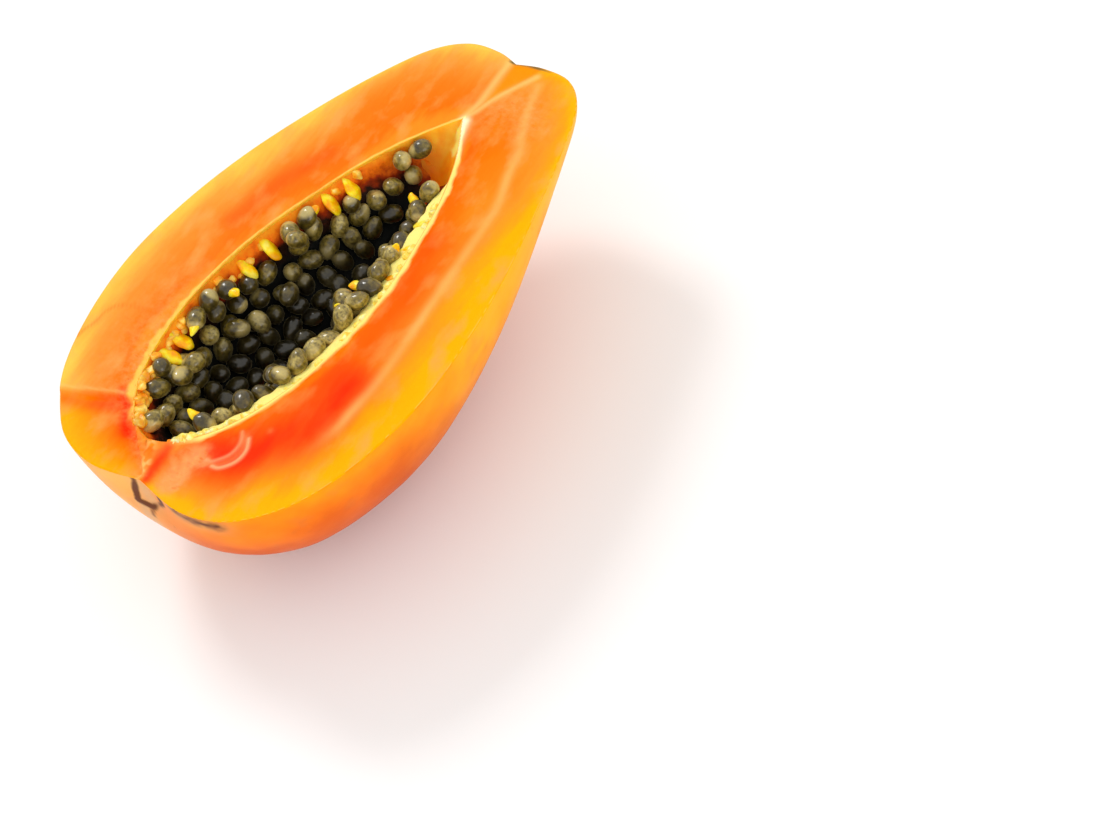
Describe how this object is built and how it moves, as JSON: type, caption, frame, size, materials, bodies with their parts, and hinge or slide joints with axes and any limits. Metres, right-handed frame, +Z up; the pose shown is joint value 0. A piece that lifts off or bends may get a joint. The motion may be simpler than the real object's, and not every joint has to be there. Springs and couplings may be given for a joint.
{
  "type": "papaya half",
  "caption": "Half of a ripe pear-shaped papaya, cut lengthwise to show the seed cavity, lying on its skin with the cut face up.",
  "frame": {"origin": "on the floor, under the centre of the half's outline", "axes": "+Z up out of the cut face, +Y along the fruit from the blossom end to the stem end, +X to the right as seen from above with the stem end away"},
  "size_m": [0.1052, 0.1702, 0.0576],
  "materials": {
    "flesh": "satin",
    "seeds": "gloss"
  },
  "bodies": {
    "root": {"papaya_half": "flesh", "seeds_left": "seeds", "seeds_right": "seeds"}
  },
  "joints": []
}
